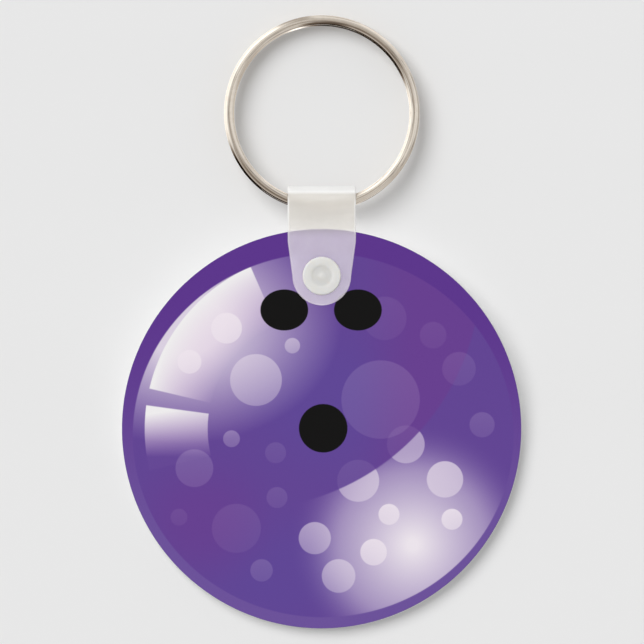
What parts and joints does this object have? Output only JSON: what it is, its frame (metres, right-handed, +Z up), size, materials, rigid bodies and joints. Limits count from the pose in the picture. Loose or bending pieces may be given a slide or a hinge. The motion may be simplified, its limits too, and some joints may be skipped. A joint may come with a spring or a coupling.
{
  "type": "round key tag on a split ring",
  "caption": "Flat round key tag printed with a picture of a purple bowling ball, held by a folded clear snap strap on a metal split ring.",
  "frame": {"origin": "top of the split ring's hole, the point that rests on a hook when the tag hangs", "axes": "+X right seen from the printed side, +Y away from the printed side, +Z up along the hanging tag"},
  "size_m": [0.0572, 0.006, 0.0877],
  "materials": {
    "ring_metal": "bright nickel plate, slightly warm",
    "strap_vinyl": "milky translucent soft vinyl, smooth",
    "snap_plastic": "smooth ivory plastic",
    "disc_core": "white plastic sheet with a cut edge",
    "print_film": "smooth printed film, purple with white and lilac bubbles",
    "back_film": "plain white satin film"
  },
  "bodies": {
    "fold": {"strap_fold_liner": "strap_vinyl"},
    "ring": {"split_ring": "ring_metal"},
    "strap_back": {"strap_back_leg": "strap_vinyl", "snap_socket": "snap_plastic"},
    "strap_front": {"strap_front_leg": "strap_vinyl", "snap_stud": "snap_plastic"},
    "disc": {"core_disc": "disc_core", "front_print": "print_film", "back_film": "back_film"}
  },
  "joints": [
    {"name": "ring_spin", "type": "hinge", "parent": "fold", "child": "ring", "pos_m": [0, 0, -0.0125], "axis": [0, 1, 0], "continuous": true},
    {"name": "strap_swing", "type": "hinge", "parent": "fold", "child": "strap_back", "pos_m": [0, 0, -0.02525], "axis": [1, 0, 0], "range_deg": [-120, 120]},
    {"name": "strap_open", "type": "hinge", "parent": "strap_back", "child": "strap_front", "pos_m": [0, -0.00097, -0.02317], "axis": [-1, 0, 0], "range_deg": [0, 100]},
    {"name": "disc_swivel", "type": "hinge", "parent": "strap_back", "child": "disc", "pos_m": [0, 0, -0.0358], "axis": [0, 1, 0], "range_deg": [-25, 25]}
  ]
}
